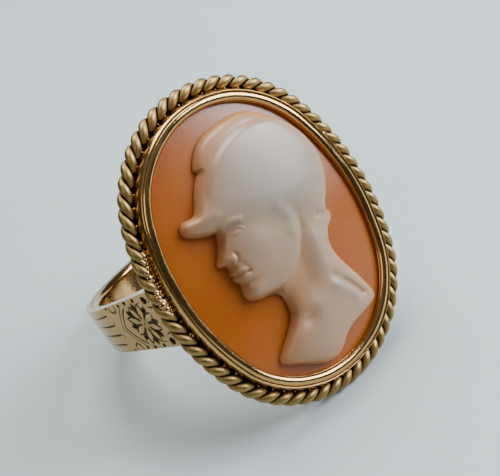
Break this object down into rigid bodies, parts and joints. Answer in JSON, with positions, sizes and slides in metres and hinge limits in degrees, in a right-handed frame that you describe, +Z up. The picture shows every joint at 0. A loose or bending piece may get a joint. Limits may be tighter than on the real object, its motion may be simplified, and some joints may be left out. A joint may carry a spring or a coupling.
{
  "type": "cameo ring",
  "caption": "Oval shell cameo ring: a helmeted head in white relief on orange shell, in a rubbed-over gold setting with a twisted rope edge, lying on its side.",
  "frame": {"origin": "centre of the bounding box in plan, on the surface that the ring lies on", "axes": "+Z up; the cameo faces -Y and up; +Y from the cameo towards the shank's back; +X to the right of a viewer who faces the cameo"},
  "size_m": [0.02, 0.024, 0.0212],
  "materials": {
    "gold": "polished yellow gold",
    "gold_rope": "twisted gold wire, darkened in its grooves",
    "shell_orange": "polished shell, orange layer",
    "shell_white": "carved shell, white layer"
  },
  "bodies": {
    "root": {"setting": "gold", "rope_wire_1": "gold_rope", "rope_wire_2": "gold_rope", "cameo_ground": "shell_orange", "cameo_relief": "shell_white"}
  },
  "joints": []
}
